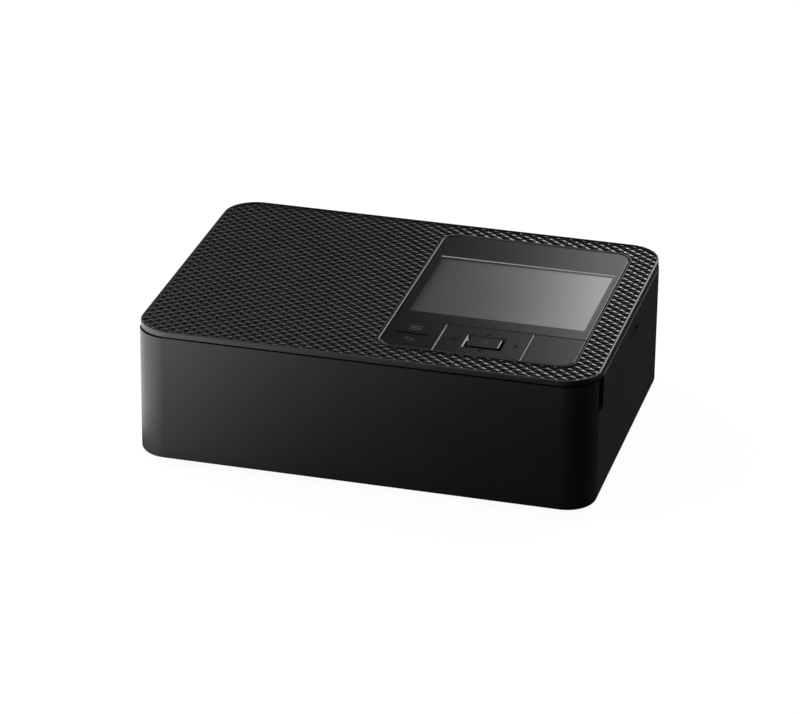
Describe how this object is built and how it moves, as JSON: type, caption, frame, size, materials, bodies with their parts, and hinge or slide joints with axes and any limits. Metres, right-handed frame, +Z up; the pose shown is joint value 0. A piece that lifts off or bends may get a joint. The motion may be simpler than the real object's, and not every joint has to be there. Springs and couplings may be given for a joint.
{
  "type": "compact photo printer",
  "caption": "Compact dye-sublimation photo printer with a fold-down front cover, a screen and key panel in its top, and a ribbon cassette behind a side door.",
  "frame": {"origin": "on the resting plane, at the middle of the footprint", "axes": "+X right seen from the front, -Y towards the front cover, +Z up"},
  "size_m": [0.1822, 0.133, 0.0576],
  "materials": {
    "satin_black_plastic": "satin black moulded plastic",
    "gloss_black_panel": "gloss black panel",
    "black_key": "smooth black key plastic",
    "black_part": "plain black plastic",
    "screen_glass": "dark liquid crystal screen",
    "steel_sheet": "zinc-plated sheet steel",
    "steel_shaft": "ground steel",
    "aluminium": "extruded aluminium",
    "rubber_black": "black rubber",
    "circuit_board": "green circuit board",
    "chip_black": "moulded electronic parts",
    "white_gear": "natural acetal",
    "brass": "turned brass",
    "bush_plastic": "self-lubricating bush plastic",
    "cassette_grey": "light grey moulded plastic",
    "film_brown": "dye film",
    "lever_orange": "orange moulded plastic",
    "cable_grey": "flat flexible cable"
  },
  "bodies": {
    "housing": {"body_shell": "satin_black_plastic", "bottom_cover": "satin_black_plastic", "top_cover": "satin_black_plastic", "rubber_feet": "rubber_black", "case_screws": "steel_sheet", "control_panel_window": "gloss_black_panel", "key_frame": "black_part", "lcd_module": "screen_glass", "lcd_frame": "steel_sheet", "control_board": "circuit_board", "key_switches": "chip_black", "paper_bay_frame": "black_part", "left_side_plate": "steel_sheet", "right_side_plate": "steel_sheet", "front_paper_guide": "black_part", "rear_paper_guide": "black_part", "frame_screws": "steel_sheet", "shaft_bushes": "bush_plastic", "pinch_roller_bracket": "steel_sheet", "head_springs": "steel_shaft", "drive_motor": "steel_sheet", "ribbon_motor": "steel_sheet", "main_board": "circuit_board", "board_components": "chip_black", "dc_jack": "chip_black", "usb_socket": "steel_sheet", "sd_board": "circuit_board", "sd_socket": "steel_sheet", "cooling_fan_frame": "black_part", "flex_cable": "cable_grey"},
    "front_cover": {"front_cover": "satin_black_plastic"},
    "ribbon_door": {"ribbon_door": "satin_black_plastic"},
    "menu_back_key": {"menu_back_key": "black_key"},
    "direction_pad": {"direction_key_pad": "black_part"},
    "direction_key": {"direction_key": "black_key"},
    "ok_button": {"ok_button": "black_key"},
    "power_key": {"power_key": "black_key"},
    "capstan": {"capstan_roller": "steel_shaft", "capstan_gear": "white_gear"},
    "drive_pinion": {"motor_pinion": "brass"},
    "feed_roller": {"feed_roller_shaft": "steel_shaft", "feed_roller_tyres": "rubber_black", "feed_gear": "white_gear"},
    "platen": {"platen_shaft": "steel_shaft", "platen_rubber": "rubber_black"},
    "pinch_roller": {"pinch_roller": "rubber_black"},
    "head": {"head_arm": "steel_sheet", "thermal_head": "aluminium"},
    "ribbon_cassette": {"ribbon_cassette_case": "cassette_grey", "ribbon_film": "film_brown"},
    "supply_spool": {"supply_spool": "cassette_grey", "supply_film_roll": "film_brown"},
    "takeup_spool": {"takeup_spool": "cassette_grey"},
    "takeup_drive": {"takeup_drive_gear": "white_gear"},
    "supply_hub": {"supply_brake_hub": "white_gear"},
    "ribbon_idler": {"ribbon_idler_gear": "white_gear"},
    "ribbon_pinion": {"ribbon_motor_pinion": "brass"},
    "cassette_lever": {"cassette_lever": "lever_orange"},
    "fan_rotor": {"cooling_fan_rotor": "black_part"}
  },
  "joints": [
    {"name": "front_cover_hinge", "type": "hinge", "parent": "housing", "child": "front_cover", "pos_m": [0, -0.0625, 0.00415], "axis": [1, 0, 0], "range_deg": [0, 90]},
    {"name": "ribbon_door_hinge", "type": "hinge", "parent": "housing", "child": "ribbon_door", "pos_m": [-0.0891, 0.005, 0.022], "axis": [0, -1, 0], "range_deg": [0, 90]},
    {"name": "menu_back_rock", "type": "hinge", "parent": "housing", "child": "menu_back_key", "pos_m": [0.014, -0.0409, 0.0542], "axis": [1, 0, 0], "range_deg": [-1.6, 1.6], "stiffness_Nm_per_rad": 0.12},
    {"name": "direction_tilt_front_back", "type": "hinge", "parent": "housing", "child": "direction_pad", "pos_m": [0.04215, -0.0414, 0.0542], "axis": [1, 0, 0], "range_deg": [-1.1, 1.1], "stiffness_Nm_per_rad": 0.12},
    {"name": "direction_tilt_side", "type": "hinge", "parent": "direction_pad", "child": "direction_key", "pos_m": [0.04215, -0.0414, 0.0553], "axis": [0, 1, 0], "range_deg": [-0.75, 0.75], "stiffness_Nm_per_rad": 0.12},
    {"name": "ok_press", "type": "slide", "parent": "housing", "child": "ok_button", "axis": [0, 0, -1], "range_m": [0, 0.0005], "stiffness_N_per_m": 1500},
    {"name": "power_press", "type": "hinge", "parent": "housing", "child": "power_key", "pos_m": [0.07, -0.0313, 0.0542], "axis": [1, 0, 0], "range_deg": [0, 1], "stiffness_Nm_per_rad": 0.12},
    {"name": "capstan_spin", "type": "hinge", "parent": "housing", "child": "capstan", "pos_m": [0, -0.03, 0.0185], "axis": [1, 0, 0], "continuous": true},
    {"name": "drive_pinion_spin", "type": "hinge", "parent": "housing", "child": "drive_pinion", "pos_m": [0, -0.01435, 0.0124], "axis": [1, 0, 0], "continuous": true},
    {"name": "feed_roller_spin", "type": "hinge", "parent": "housing", "child": "feed_roller", "pos_m": [0, -0.04132, 0.02834], "axis": [1, 0, 0], "continuous": true},
    {"name": "platen_spin", "type": "hinge", "parent": "housing", "child": "platen", "pos_m": [0, 0.005, 0.016], "axis": [1, 0, 0], "continuous": true},
    {"name": "pinch_roller_spin", "type": "hinge", "parent": "housing", "child": "pinch_roller", "pos_m": [0, -0.03, 0.02525], "axis": [1, 0, 0], "continuous": true},
    {"name": "head_lower", "type": "hinge", "parent": "housing", "child": "head", "pos_m": [0, 0.044, 0.046], "axis": [-1, 0, 0], "range_deg": [-2.4, 0], "stiffness_Nm_per_rad": 0.6, "springref_deg": 8.59},
    {"name": "cassette_slide", "type": "slide", "parent": "housing", "child": "ribbon_cassette", "axis": [-1, 0, 0], "range_m": [0, 0.015]},
    {"name": "supply_spool_spin", "type": "hinge", "parent": "ribbon_cassette", "child": "supply_spool", "pos_m": [0, -0.016, 0.034], "axis": [1, 0, 0], "continuous": true},
    {"name": "takeup_spool_spin", "type": "hinge", "parent": "ribbon_cassette", "child": "takeup_spool", "pos_m": [0, 0.026, 0.034], "axis": [1, 0, 0], "continuous": true},
    {"name": "takeup_drive_spin", "type": "hinge", "parent": "housing", "child": "takeup_drive", "pos_m": [0, 0.026, 0.034], "axis": [1, 0, 0], "continuous": true},
    {"name": "supply_hub_spin", "type": "hinge", "parent": "housing", "child": "supply_hub", "pos_m": [0, -0.016, 0.034], "axis": [1, 0, 0], "continuous": true},
    {"name": "ribbon_idler_spin", "type": "hinge", "parent": "housing", "child": "ribbon_idler", "pos_m": [0, 0.04003, 0.0259], "axis": [1, 0, 0], "continuous": true},
    {"name": "ribbon_pinion_spin", "type": "hinge", "parent": "housing", "child": "ribbon_pinion", "pos_m": [0, 0.05018, 0.02959], "axis": [1, 0, 0], "continuous": true},
    {"name": "cassette_lever_swing", "type": "hinge", "parent": "housing", "child": "cassette_lever", "pos_m": [-0.066, 0.0405, 0.028], "axis": [1, 0, 0], "range_deg": [-14, 0]},
    {"name": "fan_spin", "type": "hinge", "parent": "housing", "child": "fan_rotor", "pos_m": [-0.071, 0, 0.028], "axis": [0, 1, 0], "continuous": true}
  ],
  "couplings": [
    {"joint": "drive_pinion_spin", "follows": "capstan_spin", "ratio": -2.5},
    {"joint": "feed_roller_spin", "follows": "capstan_spin", "ratio": -0.78571},
    {"joint": "platen_spin", "follows": "capstan_spin", "ratio": 0.58333},
    {"joint": "pinch_roller_spin", "follows": "capstan_spin", "ratio": -1.1667},
    {"joint": "supply_hub_spin", "follows": "supply_spool_spin", "ratio": 1},
    {"joint": "takeup_spool_spin", "follows": "supply_spool_spin", "ratio": 1.6522},
    {"joint": "takeup_drive_spin", "follows": "supply_spool_spin", "ratio": 1.6522},
    {"joint": "ribbon_idler_spin", "follows": "supply_spool_spin", "ratio": -2.0652},
    {"joint": "ribbon_pinion_spin", "follows": "supply_spool_spin", "ratio": 4.1304}
  ]
}
